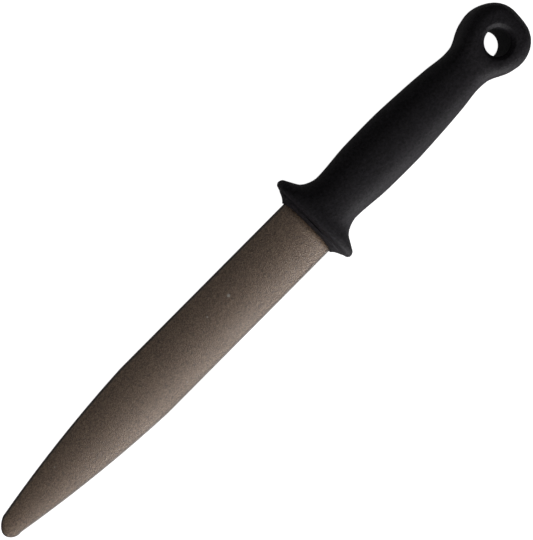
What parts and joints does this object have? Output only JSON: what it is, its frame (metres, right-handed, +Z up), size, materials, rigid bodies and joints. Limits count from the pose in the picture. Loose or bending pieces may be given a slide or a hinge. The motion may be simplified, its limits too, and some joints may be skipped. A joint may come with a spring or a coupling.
{
  "type": "knife sharpening steel",
  "caption": "Flat diamond-plated sharpening steel with a lens-section blade, blunt rounded tip, moulded handle with guard, and a pommel with a hanging hole.",
  "frame": {"origin": "under the middle of the length, on the surface that the steel lies on", "axes": "+X along the steel towards the tip, Y across its width, +Z up through its thickness"},
  "size_m": [0.34, 0.049, 0.02],
  "materials": {
    "steel": "ground satin",
    "diamond_grit": "matte nickel-bonded diamond grit, brown grey",
    "core_plastic": "plain moulded",
    "handle_plastic": "satin black, fine moulded grain"
  },
  "bodies": {
    "root": {"steel_core": "steel", "diamond_plating": "diamond_grit", "handle_core": "core_plastic", "handle_overmould": "handle_plastic"}
  },
  "joints": []
}
